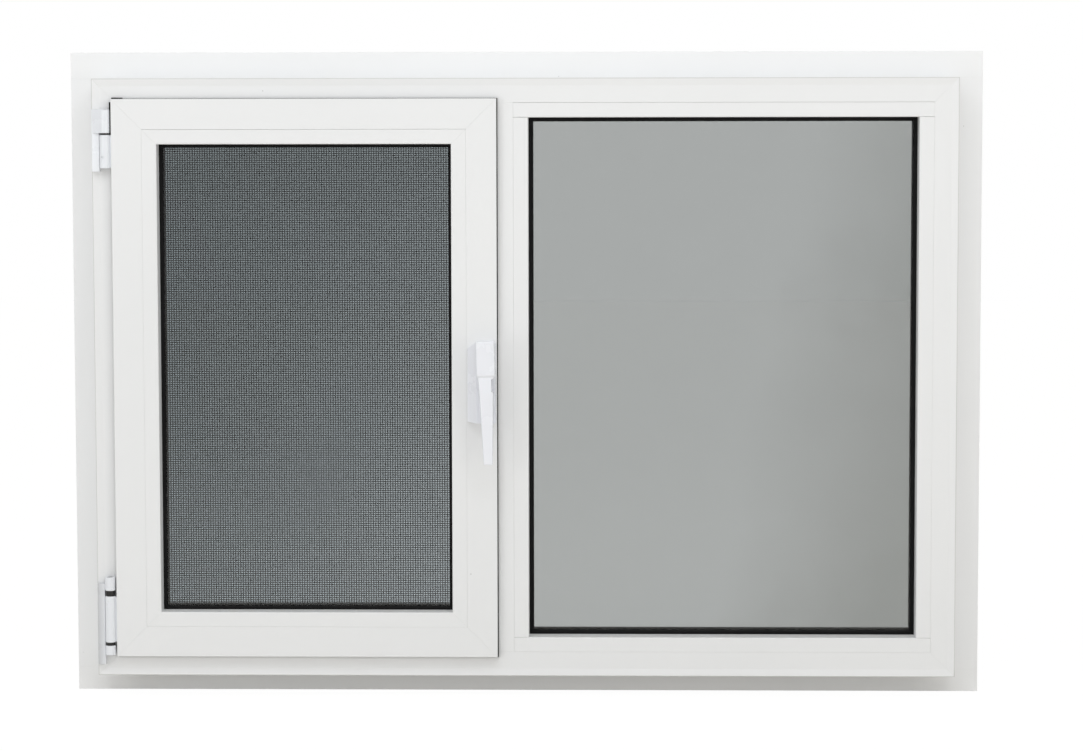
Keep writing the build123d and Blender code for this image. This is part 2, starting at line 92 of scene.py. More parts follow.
class Graph:
    """Adds nodes to one shader tree and joins their sockets."""

    def __init__(self, tree: bpy.types.NodeTree) -> None:
        """Keeps the tree that the nodes go into."""
        self.tree = tree

    def feed(self, socket: Socket, value: Value) -> None:
        """Links a source socket to an input, or sets the input's own value.

        Args:
            socket: The input.
            value: A source socket, a number, or a colour or vector.
        """
        if isinstance(value, bpy.types.NodeSocket):
            self.tree.links.new(value, socket)
        elif socket.type == "RGBA":
            socket.default_value = (*value[:3], 1.0)
        else:
            socket.default_value = value

    def add(self, kind: str, inputs: dict[str, Value] | None = None, **settings: object) -> bpy.types.Node:
        """Adds one node.

        Args:
            kind: Type name of the node.
            inputs: What goes into each named input.
            **settings: Plain properties of the node.

        Returns:
            The new node.
        """
        node = self.tree.nodes.new(kind)
        for name, value in settings.items():
            setattr(node, name, value)
        for name, value in (inputs or {}).items():
            self.feed(node.inputs[name], value)
        return node

    def sum(self, operation: str, *values: Value) -> Socket:
        """Adds a Math node.

        Args:
            operation: What the node does, such as ADD.
            *values: Its inputs in order.

        Returns:
            The result's socket.
        """
        node = self.add("ShaderNodeMath", operation=operation)
        for socket, value in zip(node.inputs, values):
            self.feed(socket, value)
        return node.outputs["Value"]

    def spread(self, value: Socket, low: float, high: float, bottom: float = 0.0, top: float = 1.0) -> Socket:
        """Stretches a range of values to another range and clamps it.

        Args:
            value: The value's socket.
            low: Where the range starts.
            high: Where the range ends.
            bottom: What the start becomes.
            top: What the end becomes.

        Returns:
            The stretched value's socket.
        """
        limits = {"Value": value, "From Min": low, "From Max": high, "To Min": bottom, "To Max": top}
        return self.add("ShaderNodeMapRange", limits, clamp=True).outputs["Result"]

    def mix(self, share: Value, first: Value, second: Value) -> Socket:
        """Mixes two colours.

        Args:
            share: How much of the second colour shows.
            first: The first colour.
            second: The second colour.

        Returns:
            The mixed colour's socket.
        """
        node = self.add("ShaderNodeMix", data_type="RGBA")
        for index, value in zip((0, 6, 7), (share, first, second)):
            self.feed(node.inputs[index], value)
        return node.outputs[2]

    def noise(self, place: Socket, scale: Value, detail: float = 2.0, rough: float = 0.5) -> Socket:
        """Adds a noise.

        Args:
            place: Where on the surface.
            scale: Lumps to a metre.
            detail: How many finer layers it has.
            rough: How strong the finer layers are.

        Returns:
            The noise value's socket.
        """
        values = {"Vector": place, "Scale": scale, "Detail": detail, "Roughness": rough}
        return self.add("ShaderNodeTexNoise", values).outputs["Fac"]

    def place(self) -> Socket:
        """Gives the place on the object, in metres."""
        return self.add("ShaderNodeTexCoord").outputs["Object"]


class Effect(Enum):
    """The surface effects that several finishes share."""

    PEEL = "Orange peel"
    DRIFT = "Coat drift"
    MARKS = "Handling marks"
    DUST = "Settled dust"
    EDGES = "Edges and joints"
    SPECKS = "Specks"


class EffectShelf:
    """Makes each shared effect once, as a node group, and places it in a finish."""

    def __init__(self) -> None:
        """Starts with no group made."""
        self.groups: dict[Effect, bpy.types.NodeTree] = {}

    def place(self, graph: Graph, effect: Effect, **values: float) -> bpy.types.Node:
        """Places an effect in a finish.

        Args:
            graph: The finish's tree.
            effect: Which effect.
            **values: The effect's own inputs for this finish.

        Returns:
            The group's node.
        """
        if effect not in self.groups:
            self.groups[effect] = self._make(effect)
        node = graph.add("ShaderNodeGroup", node_tree=self.groups[effect], label=effect.value)
        for name, value in values.items():
            node.inputs[name].default_value = value
        return node

    def _make(self, effect: Effect) -> bpy.types.NodeTree:
        """Makes one effect's group.

        Args:
            effect: Which effect.

        Returns:
            The group's tree.
        """
        makers = {
            Effect.PEEL: (self._peel, {"Scale": 420.0}),
            Effect.DRIFT: (self._drift, {"Scale": 3.0}),
            Effect.MARKS: (self._marks, {"Scale": 9.0}),
            Effect.DUST: (self._dust, {"Scale": 60.0}),
            Effect.EDGES: (self._edges, {"Radius": 0.0006, "Reach": 0.006}),
            Effect.SPECKS: (self._specks, {"Scale": 24.0, "Size": 0.0005}),
        }
        maker, inputs = makers[effect]
        tree = bpy.data.node_groups.new(effect.value, "ShaderNodeTree")
        for name, value in inputs.items():
            socket = tree.interface.new_socket(name=name, in_out="INPUT", socket_type="NodeSocketFloat")
            socket.default_value = value
        graph = Graph(tree)
        results = maker(graph, graph.add("NodeGroupInput").outputs)
        for name, socket in results.items():
            kind = "NodeSocketVector" if socket.type == "VECTOR" else "NodeSocketFloat"
            tree.interface.new_socket(name=name, in_out="OUTPUT", socket_type=kind)
        graph.add("NodeGroupOutput", results)
        return tree

    def _peel(self, graph: Graph, given: bpy.types.bpy_prop_collection) -> dict[str, Socket]:
        """Makes the fine waves of a sprayed and baked coat.

        Args:
            graph: The group's tree.
            given: The group's inputs.

        Returns:
            The height of the waves.
        """
        place = graph.place()
        wide = graph.noise(place, given["Scale"], 1.0)
        fine = graph.noise(place, graph.sum("MULTIPLY", given["Scale"], 4.3), 1.0)
        return {"Height": graph.sum("MULTIPLY_ADD", fine, 0.3, wide)}

    def _drift(self, graph: Graph, given: bpy.types.bpy_prop_collection) -> dict[str, Socket]:
        """Makes the slow change of a coat from one end of a bar to the other.

        Args:
            graph: The group's tree.
            given: The group's inputs.

        Returns:
            A mask of the slow change.
        """
        return {"Mask": graph.spread(graph.noise(graph.place(), given["Scale"], 3.0), 0.3, 0.7)}

    def _marks(self, graph: Graph, given: bpy.types.bpy_prop_collection) -> dict[str, Socket]:
        """Makes the soft smears that hands and cloths leave.

        Args:
            graph: The group's tree.
            given: The group's inputs.

        Returns:
            A mask of the smears.
        """
        place = graph.place()
        smear = graph.noise(place, given["Scale"], 6.0, 0.6)
        streak = graph.noise(place, graph.sum("MULTIPLY", given["Scale"], 7.0), 3.0)
        both = graph.sum("MULTIPLY", graph.spread(smear, 0.45, 0.75), graph.spread(streak, 0.3, 0.65))
        return {"Mask": both}

    def _dust(self, graph: Graph, given: bpy.types.bpy_prop_collection) -> dict[str, Socket]:
        """Makes the dust that lies on faces that look up.

        Args:
            graph: The group's tree.
            given: The group's inputs.

        Returns:
            A mask of the dust.
        """
        facing = graph.add("ShaderNodeNewGeometry").outputs["Normal"]
        upward = graph.add("ShaderNodeSeparateXYZ", {"Vector": facing}).outputs["Z"]
        grain = graph.noise(graph.place(), given["Scale"], 5.0, 0.65)
        lying = graph.spread(upward, 0.45, 0.95)
        return {"Mask": graph.sum("MULTIPLY", lying, graph.spread(grain, 0.35, 0.7))}

    def _edges(self, graph: Graph, given: bpy.types.bpy_prop_collection) -> dict[str, Socket]:
        """Finds outer edges, where a coat is thin, and tight joints, where ambient occlusion paints shade.

        Args:
            graph: The group's tree.
            given: The group's inputs.

        Returns:
            A mask of the edges, a mask of painted shade in the joints and a normal that rounds the edges.
        """
        rounded = graph.add("ShaderNodeBevel", {"Radius": given["Radius"]}, samples=4).outputs["Normal"]
        plain = graph.add("ShaderNodeNewGeometry").outputs["Normal"]
        turn = graph.add("ShaderNodeVectorMath", operation="DOT_PRODUCT")
        graph.feed(turn.inputs[0], rounded)
        graph.feed(turn.inputs[1], plain)
        edge = graph.spread(turn.outputs["Value"], 0.99, 0.8)
        # ambient occlusion in tight joints becomes a mask of painted shade
        closed = graph.add("ShaderNodeAmbientOcclusion", {"Distance": given["Reach"]}, samples=4)
        joint_shade = graph.spread(closed.outputs["AO"], 0.75, 0.15)
        return {"Edge": edge, "Joint shade": joint_shade, "Normal": rounded}

    def _specks(self, graph: Graph, given: bpy.types.bpy_prop_collection) -> dict[str, Socket]:
        """Makes the rare small specks of dirt that a coat traps.

        Args:
            graph: The group's tree.
            given: The group's inputs.

        Returns:
            A mask of the specks.
        """
        place = graph.place()
        cells = graph.add("ShaderNodeTexVoronoi", {"Vector": place, "Scale": given["Scale"]})
        away = graph.sum("DIVIDE", cells.outputs["Distance"], given["Scale"])
        return {"Mask": graph.sum("LESS_THAN", away, given["Size"])}


class Finish(ABC):
    """A finish that turns into one material."""

    name: str

    def make(self, effects: EffectShelf) -> bpy.types.Material:
        """Makes the material.

        Args:
            effects: The shared effects.

        Returns:
            The material.
        """
        material = bpy.data.materials.new(self.name)
        material.use_nodes = True
        graph = Graph(material.node_tree)
        graph.tree.nodes.clear()
        shader = graph.add("ShaderNodeBsdfPrincipled")
        graph.add("ShaderNodeOutputMaterial", {"Surface": shader.outputs["BSDF"]})
        self.fill(graph, shader, effects)
        return material

    @abstractmethod
    def fill(self, graph: Graph, shader: bpy.types.Node, effects: EffectShelf) -> None:
        """Feeds the shader.

        Args:
            graph: The material's tree.
            shader: The Principled shader.
            effects: The shared effects.
        """

    def bump(self, graph: Graph, height: Socket, depth: float, normal: Socket | None = None) -> Socket:
        """Raises the surface by a height.

        Args:
            graph: The material's tree.
            height: The height's socket.
            depth: How deep the relief is, in metres.
            normal: The normal that the relief starts from.

        Returns:
            The normal's socket.
        """
        inputs = {"Height": height, "Distance": depth, "Strength": 1.0}
        if normal is not None:
            inputs["Normal"] = normal
        return graph.add("ShaderNodeBump", inputs).outputs["Normal"]


@dataclass(frozen=True)
class PowderCoat(Finish):
    """White baked powder coat with orange peel, thin edges, painted shade in the joints and a few trapped
    specks.
    """

    name: str
    colour: Colour
    drift_colour: Colour
    edge_colour: Colour
    # this grime colour is painted shade in the joints and real dirt in the specks
    grime_and_shade_colour: Colour
    dust_colour: Colour
    roughness: float
    peel_scale: float
    peel_depth: float
    speck_size: float
    edge_share: float = 0.06
    joint_shade_share: float = 0.08
    dust_share: float = 0.35
    speck_share: float = 0.75

    def fill(self, graph: Graph, shader: bpy.types.Node, effects: EffectShelf) -> None:
        """Feeds the shader.

        Args:
            graph: The material's tree.
            shader: The Principled shader.
            effects: The shared effects.
        """
        drift = effects.place(graph, Effect.DRIFT, Scale=3.0).outputs["Mask"]
        marks = effects.place(graph, Effect.MARKS, Scale=8.0).outputs["Mask"]
        dust = effects.place(graph, Effect.DUST, Scale=70.0).outputs["Mask"]
        edges = effects.place(graph, Effect.EDGES, Radius=0.0004, Reach=0.003).outputs
        specks = effects.place(graph, Effect.SPECKS, Scale=24.0, Size=self.speck_size).outputs["Mask"]
        peel = effects.place(graph, Effect.PEEL, Scale=self.peel_scale).outputs["Height"]

        # the hook paints shade on the rimmed frame and the lower leaf; the plain coat stays as it is
        tone = self.wear_and_painted_shade(graph, graph.mix(drift, self.colour, self.drift_colour))
        tone = graph.mix(graph.sum("MULTIPLY", edges["Edge"], self.edge_share), tone, self.edge_colour)
        # painted shade: darkens the coat in tight joints found by ambient occlusion
        tone = graph.mix(graph.sum("MULTIPLY", edges["Joint shade"], self.joint_shade_share), tone, self.grime_and_shade_colour)
        tone = graph.mix(graph.sum("MULTIPLY", dust, self.dust_share), tone, self.dust_colour)
        tone = graph.mix(graph.sum("MULTIPLY", specks, self.speck_share), tone, self.grime_and_shade_colour)
        graph.feed(shader.inputs["Base Color"], tone)

        gloss = graph.sum("MULTIPLY_ADD", marks, 0.12, self.roughness)
        graph.feed(shader.inputs["Roughness"], graph.sum("MULTIPLY_ADD", dust, 0.25, gloss))
        graph.feed(shader.inputs["Normal"], self.bump(graph, peel, self.peel_depth, edges["Normal"]))

    def wear_and_painted_shade(self, graph: Graph, tone: Socket) -> Socket:
        """Leaves the coat as it is, with no painted shade."""
        return tone


@dataclass(frozen=True)
class RimmedCoat(PowderCoat):
    """The same coat on the outer frame, with painted shade in a thin grey line along the rim."""

    rim_shade_colour: Colour = (0.65, 0.65, 0.64)
    rim_width: float = 0.0009
    rim_depth: float = 0.0012

    def wear_and_painted_shade(self, graph: Graph, tone: Socket) -> Socket:
        """Paints shade in a thin grey line along the rim.

        Args:
            graph: The material's tree.
            tone: The coat's colour.

        Returns:
            The coat's colour with the painted shade line along the rim.
        """
        low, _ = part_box("frame_sill")
        _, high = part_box("frame_head")
        spot = graph.add("ShaderNodeSeparateXYZ", {"Vector": graph.place()}).outputs
        rims = []
        for axis, start, end in (("X", low.x, high.x), ("Z", low.z, high.z)):
            away = graph.sum("ABSOLUTE", graph.sum("SUBTRACT", spot[axis], (start + end) / 2))
            half = (end - start) / 2
            rims.append(graph.spread(away, half - self.rim_width, half - self.rim_width * 0.6))
        front = graph.spread(spot["Y"], low.y + self.rim_depth, low.y + self.rim_depth * 0.8)
        shade_line = graph.sum("MULTIPLY", graph.sum("MAXIMUM", *rims), front)
        # painted shade: a thin grey line where the rounded rim turns away from the light
        return graph.mix(shade_line, tone, self.rim_shade_colour)


@dataclass(frozen=True)
class LeafCoat(PowderCoat):
    """The same coat on the lower hinge's frame leaf, darker towards its outer edge with painted shade."""

    node: str = "bottom_hinge_frame_leaf"
    dull_and_shade_colour: Colour = (0.55, 0.56, 0.58)
    shade_width: float = 0.009

    def wear_and_painted_shade(self, graph: Graph, tone: Socket) -> Socket:
        """Paints shade towards the outer edge.

        Args:
            graph: The material's tree.
            tone: The coat's colour.

        Returns:
            The coat's colour, darker towards the edge with painted shade.
        """
        low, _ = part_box(self.node)
        across = graph.add("ShaderNodeSeparateXYZ", {"Vector": graph.place()}).outputs["X"]
        # painted shade: darkens the leaf towards its outer edge
        return graph.mix(graph.spread(across, low.x + self.shade_width, low.x), tone, self.dull_and_shade_colour)


@dataclass(frozen=True)
class Rubber(Finish):
    """Black extruded rubber with a fine matt skin and a little grey bloom."""

    name: str
    colour: Colour
    bloom_colour: Colour
    roughness: float
    shine: float

    def fill(self, graph: Graph, shader: bpy.types.Node, effects: EffectShelf) -> None:
        """Feeds the shader.

        Args:
            graph: The material's tree.
            shader: The Principled shader.
            effects: The shared effects.
        """
        marks = effects.place(graph, Effect.MARKS, Scale=14.0).outputs["Mask"]
        dust = effects.place(graph, Effect.DUST, Scale=140.0).outputs["Mask"]
        skin = effects.place(graph, Effect.PEEL, Scale=1600.0).outputs["Height"]
        bloom = graph.sum("MULTIPLY_ADD", dust, 0.3, graph.sum("MULTIPLY", marks, 0.15))
        graph.feed(shader.inputs["Base Color"], graph.mix(bloom, self.colour, self.bloom_colour))
        graph.feed(shader.inputs["Roughness"], graph.sum("MULTIPLY_ADD", marks, 0.15, self.roughness))
        graph.feed(shader.inputs["Normal"], self.bump(graph, skin, 0.00003))
        shader.inputs["Specular IOR Level"].default_value = self.shine


@dataclass(frozen=True)
class TintedGlass(Finish):
    """Grey float glass with faint wiping marks, its tint easing from the upper left to the lower right as
    painted shading.
    """

    name: str
    colour: Colour
    far_shading_colour: Colour
    light: str
    rightward: float
    downward: float
    start: float
    index: float = 1.5

    def fill(self, graph: Graph, shader: bpy.types.Node, effects: EffectShelf) -> None:
        """Feeds the shader.

        Args:
            graph: The material's tree.
            shader: The Principled shader.
            effects: The shared effects.
        """
        drift = effects.place(graph, Effect.DRIFT, Scale=2.2).outputs["Mask"]
        marks = effects.place(graph, Effect.MARKS, Scale=6.0).outputs["Mask"]
        film = graph.sum("MULTIPLY_ADD", marks, 0.1, graph.sum("MULTIPLY", drift, 0.12))
        low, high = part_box(f"{self.light}_inner_pane")
        spot = graph.add("ShaderNodeSeparateXYZ", {"Vector": graph.place()}).outputs
        # painted shading: the tint eases across the pane, lighter towards the lower right on the sash and
        # darker towards the right on the fixed light
        across = graph.spread(spot["X"], low.x, high.x, 0.0, self.rightward)
        down = graph.spread(spot["Z"], high.z, low.z, 0.0, self.downward)
        shading_and_marks = graph.spread(graph.sum("ADD", graph.sum("ADD", across, down), film), self.start, 1.0)
        graph.feed(shader.inputs["Base Color"], graph.mix(shading_and_marks, self.colour, self.far_shading_colour))
        graph.feed(shader.inputs["Roughness"], graph.sum("MULTIPLY", marks, 0.012))
        shader.inputs["IOR"].default_value = self.index
        shader.inputs["Transmission Weight"].default_value = 1.0


@dataclass(frozen=True)
class BareMetal(Finish):
    """Bare metal with drawn lines and a dull skin."""

    name: str
    colour: Colour
    # on bare metal this is only the dull skin's colour, with no painted shade
    dull_and_shade_colour: Colour
    roughness: float

    def fill(self, graph: Graph, shader: bpy.types.Node, effects: EffectShelf) -> None:
        """Feeds the shader.

        Args:
            graph: The material's tree.
            shader: The Principled shader.
            effects: The shared effects.
        """
        marks = effects.place(graph, Effect.MARKS, Scale=30.0).outputs["Mask"]
        skin = effects.place(graph, Effect.PEEL, Scale=1200.0).outputs["Height"]
        shader.inputs["Metallic"].default_value = 1.0
        graph.feed(shader.inputs["Base Color"], graph.mix(marks, self.colour, self.dull_and_shade_colour))
        graph.feed(shader.inputs["Roughness"], graph.sum("MULTIPLY_ADD", marks, 0.2, self.roughness))
        graph.feed(shader.inputs["Normal"], self.bump(graph, skin, 0.00002))


@dataclass(frozen=True)
class WireCoat(Finish):
    """Dark coat on the screen's woven wire, rubbed paler in random patches."""

    name: str
    colour: Colour
    rubbed_colour: Colour
    roughness: float

    def fill(self, graph: Graph, shader: bpy.types.Node, effects: EffectShelf) -> None:
        """Feeds the shader.

        Args:
            graph: The material's tree.
            shader: The Principled shader.
            effects: The shared effects.
        """
        drift = effects.place(graph, Effect.DRIFT, Scale=5.0).outputs["Mask"]
        marks = effects.place(graph, Effect.MARKS, Scale=40.0).outputs["Mask"]
        wear_and_painted_shade = graph.sum("MULTIPLY_ADD", marks, 0.5, graph.sum("MULTIPLY", drift, 0.3))
        graph.feed(shader.inputs["Base Color"], graph.mix(wear_and_painted_shade, self.colour, self.rubbed_colour))
        graph.feed(shader.inputs["Roughness"], graph.sum("MULTIPLY_ADD", marks, 0.2, self.roughness))


class Skin(Enum):
    """The finishes that the window has."""

    BARS = "bars"
    RIM = "rim"
    FIN = "fin"
    HANDLE = "handle"
    HINGE = "hinge"
    LEAF = "leaf"
    RUBBER = "rubber"
    SASH_GLASS = "sash_glass"
    FIXED_GLASS = "fixed_glass"
    SPACER = "spacer"
    PIN = "pin"
    WIRE = "wire"


BAR_COLOURS: dict[str, Colour] = {
    "colour": paint(239, 240, 241),
    "drift_colour": paint(236, 237, 238),
    "edge_colour": paint(214, 214, 211),
    # the grime colour is painted shade in the joints and real dirt in the specks
    "grime_and_shade_colour": paint(112, 108, 100),
    "dust_colour": paint(214, 209, 198),
}
BAR_SKIN: dict[str, float] = {"peel_scale": 420.0, "peel_depth": 0.00002, "speck_size": 0.0005}
CAST_SKIN: dict[str, Colour | float] = {
    # the grime colour is painted shade in the joints and real dirt in the specks
    "grime_and_shade_colour": paint(104, 102, 98),
    "roughness": 0.27,
    "peel_scale": 650.0,
    "peel_depth": 0.000012,
    "speck_size": 0.0002,
}

FINISHES: dict[Skin, Finish] = {
    Skin.BARS: PowderCoat(
        name="white_bar_coat",
        **BAR_COLOURS,
        **BAR_SKIN,
        roughness=0.36,
    ),
    Skin.RIM: RimmedCoat(
        name="white_frame_coat",
        **BAR_COLOURS,
        **BAR_SKIN,
        roughness=0.36,
    ),
    # painted light: the fin strips get a brighter copy of the bar coat for the light they catch
    Skin.FIN: PowderCoat(
        name="white_fin_coat_painted_light",
        colour=paint(246, 247, 248),
        drift_colour=paint(243, 244, 245),
        edge_colour=paint(222, 222, 220),
        grime_and_shade_colour=paint(122, 119, 112),
        dust_colour=paint(220, 216, 207),
        **BAR_SKIN,
        roughness=0.4,
    ),
    Skin.HANDLE: PowderCoat(
        name="white_handle_coat",
        colour=paint(242, 244, 250),
        drift_colour=paint(239, 241, 247),
        edge_colour=paint(222, 223, 226),
        dust_colour=paint(218, 214, 207),
        **CAST_SKIN,
    ),
    Skin.HINGE: PowderCoat(
        name="white_hinge_coat",
        colour=paint(237, 240, 245),
        drift_colour=paint(234, 237, 242),
        edge_colour=paint(216, 217, 219),
        dust_colour=paint(214, 210, 202),
        **CAST_SKIN,
    ),
    Skin.LEAF: LeafCoat(
        name="white_leaf_coat",
        colour=paint(236, 239, 244),
        drift_colour=paint(233, 236, 241),
        edge_colour=paint(214, 215, 217),
        dust_colour=paint(214, 210, 202),
        **CAST_SKIN,
    ),
    Skin.RUBBER: Rubber(
        name="black_rubber",
        colour=paint(15, 15, 16),
        bloom_colour=paint(58, 58, 57),
        roughness=0.55,
        shine=0.15,
    ),
    # both glass finishes carry painted shading across the pane
    Skin.SASH_GLASS: TintedGlass(
        name="grey_sash_glass",
        colour=(0.442, 0.477, 0.487),
        far_shading_colour=(0.62, 0.655, 0.67),
        light="sash",
        rightward=0.45,
        downward=0.6,
        start=0.2,
    ),
    Skin.FIXED_GLASS: TintedGlass(
        name="grey_fixed_glass",
        colour=(0.612, 0.625, 0.62),
        far_shading_colour=(0.522, 0.532, 0.522),
        light="fixed",
        rightward=0.745,
        downward=0.25,
        start=0.64,
    ),
    Skin.SPACER: BareMetal(
        name="spacer_aluminium",
        colour=paint(176, 178, 180),
        dull_and_shade_colour=paint(142, 144, 146),
        roughness=0.34,
    ),
    Skin.PIN: BareMetal(
        name="pin_steel",
        colour=paint(66, 66, 66),
        dull_and_shade_colour=paint(38, 38, 37),
        roughness=0.3,
    ),
    Skin.WIRE: WireCoat(
        name="dark_wire_coat",
        colour=paint(82, 82, 83),
        rubbed_colour=paint(118, 118, 118),
        roughness=0.45,
    ),
}


class PaintShop:
    """Makes each finish once and puts it on the pieces."""

    def __init__(self, effects: EffectShelf) -> None:
        """Makes the material of every finish."""
        self.materials = {skin: finish.make(effects) for skin, finish in FINISHES.items()}

    def coat(self, piece: bpy.types.Object, skin: Skin) -> None:
        """Puts a finish on one piece.

        Args:
            piece: The piece.
            skin: Which finish.
        """
        material = self.materials[skin]
        if not piece.material_slots:
            piece.data.materials.append(material)
        for slot in piece.material_slots:
            slot.material = material
        LOG.info("%s: %s", piece.name, material.name)

    def coat_nodes(self, names: tuple[str, ...], skin: Skin) -> None:
        """Puts a finish on several CAD nodes.

        Args:
            names: The nodes.
            skin: Which finish.
        """
        for name in names:
            self.coat(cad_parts[name], skin)


class SubAssembly(ABC):
    """One group of the window's pieces."""

    @abstractmethod
    def dress(self, shop: PaintShop) -> None:
        """Gives every piece its finish.

        Args:
            shop: Where the finishes are.
        """


@dataclass
class OuterFrame(SubAssembly):
    """The mitred outer frame, its flat fin and the mullion."""

    bars: tuple[str, ...] = ("frame_sill", "frame_head", "frame_left_jamb", "frame_right_jamb")
    fins: tuple[str, ...] = ("fin_bottom", "fin_top", "fin_left", "fin_right")
    post: str = "mullion"

    def dress(self, shop: PaintShop) -> None:
        """Coats the rimmed bars, the fin strips and the mullion.

        Args:
            shop: Where the finishes are.
        """
        shop.coat_nodes(self.bars, Skin.RIM)
        # painted light: the fins get the brighter fin coat
        shop.coat_nodes(self.fins, Skin.FIN)
        shop.coat_nodes((self.post,), Skin.BARS)


@dataclass
class OpeningSash(SubAssembly):
    """The opening sash's mitred bars and the seal under their lap."""

    bars: tuple[str, ...] = ("sash_bottom_rail", "sash_top_rail", "sash_hinge_stile", "sash_handle_stile")
    seal: str = "sash_seal"

    def dress(self, shop: PaintShop) -> None:
        """Coats the bars and the seal."""
        shop.coat_nodes(self.bars, Skin.BARS)
        shop.coat_nodes((self.seal,), Skin.RUBBER)


class Light(Enum):
    """The two glazed lights."""

    OPENING = "sash"
    FIXED = "fixed"


@dataclass
class Glazing(SubAssembly):
    """One light's double glass, spacer, gaskets and beads."""

    light: Light
    glass: Skin
    bead_sides: tuple[str, ...] = ("bottom", "top", "left", "right")

    def dress(self, shop: PaintShop) -> None:
        """Coats the beads, the gaskets, the panes and the spacer.

        Args:
            shop: Where the finishes are.
        """
        name = self.light.value
        shop.coat_nodes(tuple(f"{name}_bead_{side}" for side in self.bead_sides), Skin.BARS)
        shop.coat_nodes((f"{name}_inner_gasket", f"{name}_outer_gasket"), Skin.RUBBER)
        shop.coat_nodes((f"{name}_inner_pane", f"{name}_outer_pane"), self.glass)
        shop.coat_nodes((f"{name}_glass_spacer",), Skin.SPACER)


class HingePlace(Enum):
    """Where a hinge sits on the sash."""

    TOP = "top"
    BOTTOM = "bottom"


@dataclass
class Hinge(SubAssembly):
    """One hinge: the leaf on the frame, the knuckle on the sash and the pin."""

    place: HingePlace
    leaf: Skin

    def dress(self, shop: PaintShop) -> None:
        """Coats the leaf and the knuckle and leaves the pin bare.

        Args:
            shop: Where the finishes are.
        """
        name = f"{self.place.value}_hinge"
        shop.coat_nodes((f"{name}_frame_leaf",), self.leaf)
        shop.coat_nodes((f"{name}_sash_knuckle",), Skin.HINGE)
        shop.coat_nodes((f"{name}_pin",), Skin.PIN)


@dataclass
class LeverHandle(SubAssembly):
    """The handle's base and its lever."""

    pieces: tuple[str, ...] = ("handle_base", "handle_lever")

    def dress(self, shop: PaintShop) -> None:
        """Coats the base and the lever."""
        shop.coat_nodes(self.pieces, Skin.HANDLE)


class WireRun(Enum):
    """Which way a screen wire runs."""

    UPRIGHT = "upright"
    CROSS = "cross"


@dataclass
class InsectScreen(SubAssembly):
    """The screen behind the opening sash: four frame bars and a plain weave of coated wire."""

    bars: tuple[str, ...] = ("screen_bottom", "screen_top", "screen_left", "screen_right")
    sheet: str = "screen_mesh"
    upright_pitch: float = 0.002745
    cross_pitch: float = 0.002457
    wire: float = 0.00115
    bend_share: float = 0.96
    halves: int = 2
    sides: int = 4
    low: Vector = field(default_factory=Vector)
    high: Vector = field(default_factory=Vector)

    def dress(self, shop: PaintShop) -> None:
        """Coats the bars, then weaves and coats the wire.

        Args:
            shop: Where the finishes are.
        """
        shop.coat_nodes(self.bars, Skin.BARS)
        self.low, self.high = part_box(self.sheet)
        for run in WireRun:
            for half in range(self.halves):
                piece = self.weave(run, half)
                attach(piece, BODY)
                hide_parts(self.sheet)
                shop.coat(piece, Skin.WIRE)

    def stations(self, axis: int) -> list[float]:
        """Spaces the wires evenly over the sheet.

        Args:
            axis: 0 across the sheet, 2 up it.

        Returns:
            The places of the wires that cross that axis.
        """
        length = self.high[axis] - self.low[axis]
        count = round(length / (self.upright_pitch if axis == 0 else self.cross_pitch))
        return [self.low[axis] + (index + 0.5) * length / count for index in range(count)]

    def weave(self, run: WireRun, half: int) -> bpy.types.Object:
        """Makes half of the wires that run one way.

        Args:
            run: Which way they run.
            half: Which half of the sheet.

        Returns:
            The new piece.
        """
        along, over = (2, 0) if run is WireRun.UPRIGHT else (0, 2)
        crossings, wires = self.stations(along), self.stations(over)
        share = len(wires) / self.halves
        chosen = range(round(half * share), round((half + 1) * share))
        points: list[Point] = []
        faces: list[tuple[int, ...]] = []
        for index in chosen:
            phase = index if run is WireRun.UPRIGHT else index + 1
            self.add_wire(points, faces, along, over, wires[index], crossings, phase)
        name = f"screen_wire_{run.value}_{half + 1}"
        mesh = bpy.data.meshes.new(name)
        mesh.from_pydata(points, [], faces)
        mesh.shade_smooth()
        piece = bpy.data.objects.new(name, mesh)
        bpy.context.scene.collection.objects.link(piece)
        return piece

    def add_wire(
        self,
        points: list[Point],
        faces: list[tuple[int, ...]],
        along: int,
        over: int,
        place: float,
        crossings: list[float],
        phase: int,
    ) -> None:
        """Adds one wire that bends over and under the wires it crosses.

        Args:
            points: The mesh's points, which grow.
            faces: The mesh's faces, which grow.
            along: The axis that the wire follows.
            over: The axis across it.
            place: Where it lies on that axis.
            crossings: Where it meets the other wires.
            phase: Even where its first bend goes back, odd where it comes forward.
        """
        radius = self.wire / 2
        middle = (self.low.y + self.high.y) / 2
        bend = radius * self.bend_share
        path = [(self.low[along], 0.0)]
        path += [(spot, bend if (phase + turn) % 2 else -bend) for turn, spot in enumerate(crossings)]
        path += [(self.high[along], 0.0)]
        first = len(points)
        for spot, lift in path:
            for side in range(self.sides):
                angle = math.tau * side / self.sides
                point = [0.0, middle + lift + radius * math.sin(angle), 0.0]
                point[along] = spot
                point[over] = place + radius * math.cos(angle)
                points.append(tuple(point))
        for step in range(len(path) - 1):
            for side in range(self.sides):
                here = first + step * self.sides
                near, far = here + side, here + (side + 1) % self.sides
                quad = (near, far, far + self.sides, near + self.sides)
                faces.append(quad if along == 0 else quad[::-1])
        start = tuple(range(first, first + self.sides))
        end = tuple(point + (len(path) - 1) * self.sides for point in start)
        faces.append(start[::-1] if along == 0 else start)
        faces.append(end if along == 0 else end[::-1])


